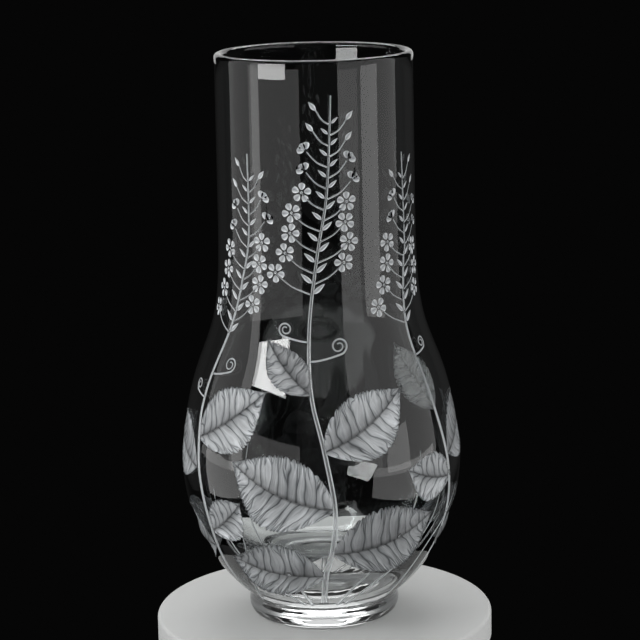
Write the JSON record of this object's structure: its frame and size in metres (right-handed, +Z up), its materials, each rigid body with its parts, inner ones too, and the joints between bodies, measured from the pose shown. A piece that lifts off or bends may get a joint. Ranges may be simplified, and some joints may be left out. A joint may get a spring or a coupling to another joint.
{
  "type": "glass vase",
  "caption": "Footed clear glass vase with a pear-shaped bowl, a wide straight neck and a fire-polished lip, decorated with wheel-cut leaves and flowers, for cut flowers.",
  "frame": {"origin": "centre of the foot, on the surface that the vase stands on", "axes": "+Z up along the axis of the vase, -Y towards the front in the picture"},
  "size_m": [0.148, 0.1479, 0.3],
  "materials": {
    "clear_glass": "clear and colourless, fire-polished, very smooth",
    "wheel_cut_glass": "matt grey, left unpolished by the engraving wheel"
  },
  "bodies": {
    "root": {"blown_body": "clear_glass", "applied_foot": "clear_glass"}
  },
  "joints": []
}
